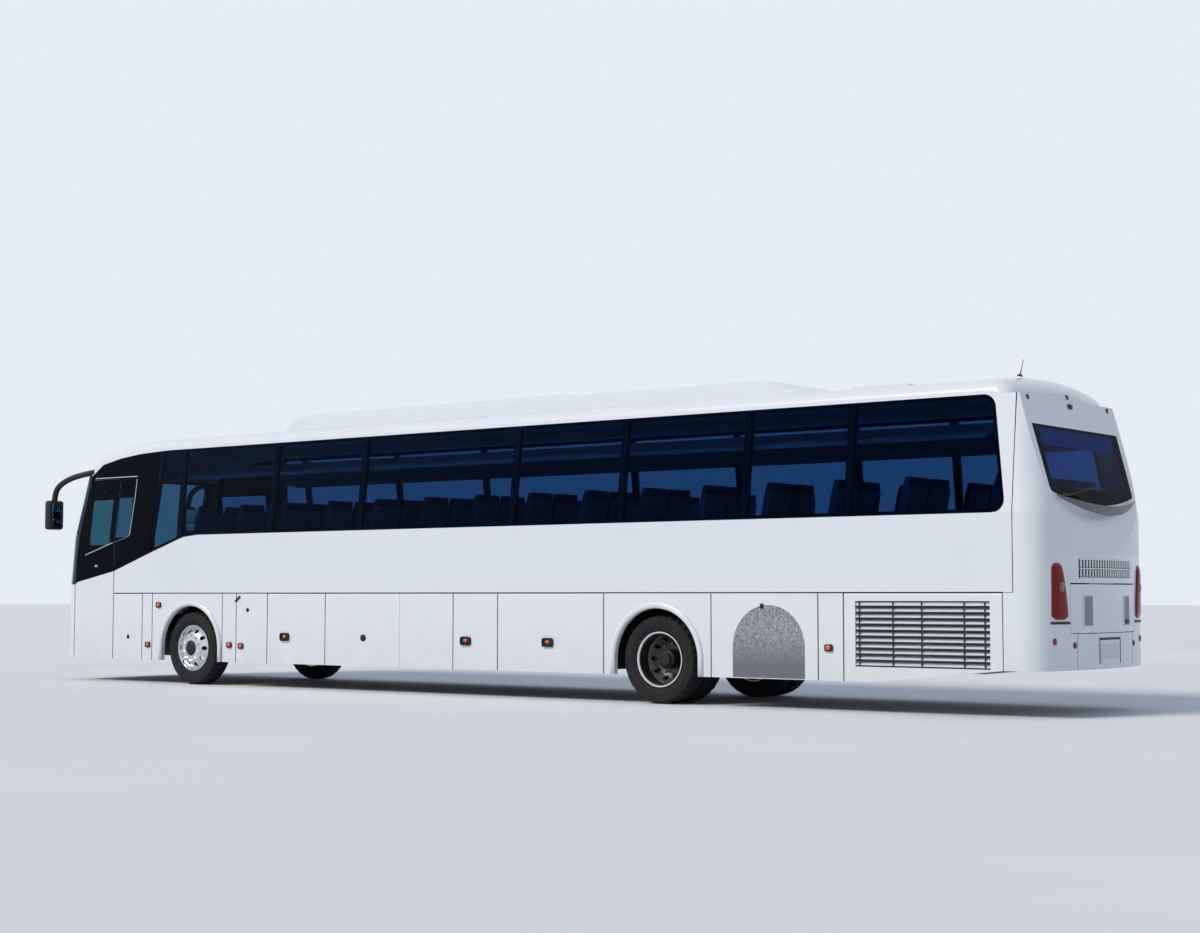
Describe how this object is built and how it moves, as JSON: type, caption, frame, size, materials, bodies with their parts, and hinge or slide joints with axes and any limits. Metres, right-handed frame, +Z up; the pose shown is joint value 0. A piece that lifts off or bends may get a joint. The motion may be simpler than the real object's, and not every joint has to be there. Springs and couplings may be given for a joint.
{
  "type": "coach bus",
  "caption": "High-floor single-deck touring coach with a long glazed cabin, hinged luggage flaps under the floor, a front entry door, a rear engine lid and steered front wheels.",
  "frame": {"origin": "on the ground under the middle of the overall length, mirrors included, on the centre plane", "axes": "+X forward to the windscreen, +Y to the vehicle's left where the entry door is, +Z up"},
  "size_m": [15.26, 2.67, 3.532],
  "materials": {
    "body_paint": "glossy",
    "tinted_glass": "polished",
    "clear_glass": "polished",
    "tyre": "matte",
    "wheel_steel": "satin",
    "chassis_paint": "satin",
    "black_plastic": "matte",
    "grey_plastic": "matte",
    "floor_cover": "matte",
    "seat_fabric": "woven",
    "engine_iron": "cast",
    "lamp_lens": "polished",
    "red_lens": "glossy"
  },
  "bodies": {
    "coach": {"arch_liners": "black_plastic", "bay_frame": "chassis_paint", "dashboard": "black_plastic", "engine_block": "engine_iron", "floor_deck": "floor_cover", "front_axle": "chassis_paint", "front_frame": "chassis_paint", "front_mask": "body_paint", "fuel_tank": "black_plastic", "headlamps": "lamp_lens", "luggage_racks": "grey_plastic", "mirrors": "black_plastic", "rear_axle": "chassis_paint", "rear_cap": "body_paint", "rear_frame": "chassis_paint", "rear_panel": "body_paint", "rear_window": "tinted_glass", "roof_fairing": "body_paint", "roof_hatch": "body_paint", "roof_skin": "body_paint", "seats": "seat_fabric", "side_glass": "tinted_glass", "side_wall_left": "body_paint", "side_wall_right": "body_paint", "skirt_panels": "body_paint", "steering_wheel": "black_plastic", "tail_lamps": "red_lens", "windscreen": "clear_glass"},
    "entry_door": {"door_leaf": "body_paint", "door_glass": "tinted_glass"},
    "engine_lid": {"engine_lid": "body_paint"},
    "knuckle_left": {"knuckle_left": "chassis_paint"},
    "knuckle_right": {"knuckle_right": "chassis_paint"},
    "front_wheel_left": {"tyre_front_left": "tyre", "wheel_front_left": "wheel_steel"},
    "front_wheel_right": {"tyre_front_right": "tyre", "wheel_front_right": "wheel_steel"},
    "rear_wheels_left": {"tyres_rear_left": "tyre", "wheels_rear_left": "wheel_steel"},
    "rear_wheels_right": {"tyres_rear_right": "tyre", "wheels_rear_right": "wheel_steel"},
    "bay_door_1_left": {"bay_door_1_left": "body_paint"},
    "bay_door_1_right": {"bay_door_1_right": "body_paint"},
    "bay_door_2_left": {"bay_door_2_left": "body_paint"},
    "bay_door_2_right": {"bay_door_2_right": "body_paint"},
    "bay_door_3_left": {"bay_door_3_left": "body_paint"},
    "bay_door_4_left": {"bay_door_4_left": "body_paint"},
    "bay_door_4_right": {"bay_door_4_right": "body_paint"},
    "engine_door_left": {"engine_door_left": "body_paint"},
    "engine_door_right": {"engine_door_right": "body_paint"},
    "locker_door_left": {"locker_door_left": "body_paint"}
  },
  "joints": [
    {"name": "entry_door_hinge", "type": "hinge", "parent": "coach", "child": "entry_door", "pos_m": [6.993, 1.232, 0.8], "axis": [0, 0, -1], "range_deg": [0, 90]},
    {"name": "engine_lid_hinge", "type": "hinge", "parent": "coach", "child": "engine_lid", "pos_m": [-7.6048, 0, 1.259], "axis": [0, 1, 0], "range_deg": [0, 75]},
    {"name": "steer_left", "type": "hinge", "parent": "coach", "child": "knuckle_left", "pos_m": [4.587, 0.975, 0.479], "axis": [0, 0, 1], "range_deg": [-40, 40]},
    {"name": "steer_right", "type": "hinge", "parent": "coach", "child": "knuckle_right", "pos_m": [4.587, -0.975, 0.479], "axis": [0, 0, 1], "range_deg": [-40, 40]},
    {"name": "front_wheel_left_spin", "type": "hinge", "parent": "knuckle_left", "child": "front_wheel_left", "pos_m": [4.587, 1.072, 0.479], "axis": [0, 1, 0], "continuous": true},
    {"name": "front_wheel_right_spin", "type": "hinge", "parent": "knuckle_right", "child": "front_wheel_right", "pos_m": [4.587, -1.072, 0.479], "axis": [0, 1, 0], "continuous": true},
    {"name": "rear_wheels_left_spin", "type": "hinge", "parent": "coach", "child": "rear_wheels_left", "pos_m": [-3.003, 0.916, 0.479], "axis": [0, 1, 0], "continuous": true},
    {"name": "rear_wheels_right_spin", "type": "hinge", "parent": "coach", "child": "rear_wheels_right", "pos_m": [-3.003, -0.916, 0.479], "axis": [0, 1, 0], "continuous": true},
    {"name": "bay_door_1_left_hinge", "type": "hinge", "parent": "coach", "child": "bay_door_1_left", "pos_m": [2.586, 1.232, 1.1755], "axis": [1, 0, 0], "range_deg": [0, 85]},
    {"name": "bay_door_1_right_hinge", "type": "hinge", "parent": "coach", "child": "bay_door_1_right", "pos_m": [2.586, -1.232, 1.1755], "axis": [-1, 0, 0], "range_deg": [0, 85]},
    {"name": "bay_door_2_left_hinge", "type": "hinge", "parent": "coach", "child": "bay_door_2_left", "pos_m": [1.001, 1.232, 1.1755], "axis": [1, 0, 0], "range_deg": [0, 85]},
    {"name": "bay_door_2_right_hinge", "type": "hinge", "parent": "coach", "child": "bay_door_2_right", "pos_m": [1.001, -1.232, 1.1755], "axis": [-1, 0, 0], "range_deg": [0, 85]},
    {"name": "bay_door_3_left_hinge", "type": "hinge", "parent": "coach", "child": "bay_door_3_left", "pos_m": [-0.4055, 1.232, 1.1755], "axis": [1, 0, 0], "range_deg": [0, 85]},
    {"name": "bay_door_4_left_hinge", "type": "hinge", "parent": "coach", "child": "bay_door_4_left", "pos_m": [-1.5185, 1.232, 1.1755], "axis": [1, 0, 0], "range_deg": [0, 85]},
    {"name": "bay_door_4_right_hinge", "type": "hinge", "parent": "coach", "child": "bay_door_4_right", "pos_m": [-1.5185, -1.232, 1.1755], "axis": [-1, 0, 0], "range_deg": [0, 85]},
    {"name": "engine_door_left_hinge", "type": "hinge", "parent": "coach", "child": "engine_door_left", "pos_m": [-6.215, 1.232, 1.1755], "axis": [1, 0, 0], "range_deg": [0, 85]},
    {"name": "engine_door_right_hinge", "type": "hinge", "parent": "coach", "child": "engine_door_right", "pos_m": [-6.215, -1.232, 1.1755], "axis": [-1, 0, 0], "range_deg": [0, 85]},
    {"name": "locker_door_left_hinge", "type": "hinge", "parent": "coach", "child": "locker_door_left", "pos_m": [5.863, 1.232, 1.1755], "axis": [1, 0, 0], "range_deg": [0, 85]}
  ],
  "couplings": [
    {"joint": "steer_right", "follows": "steer_left", "ratio": 1}
  ]
}
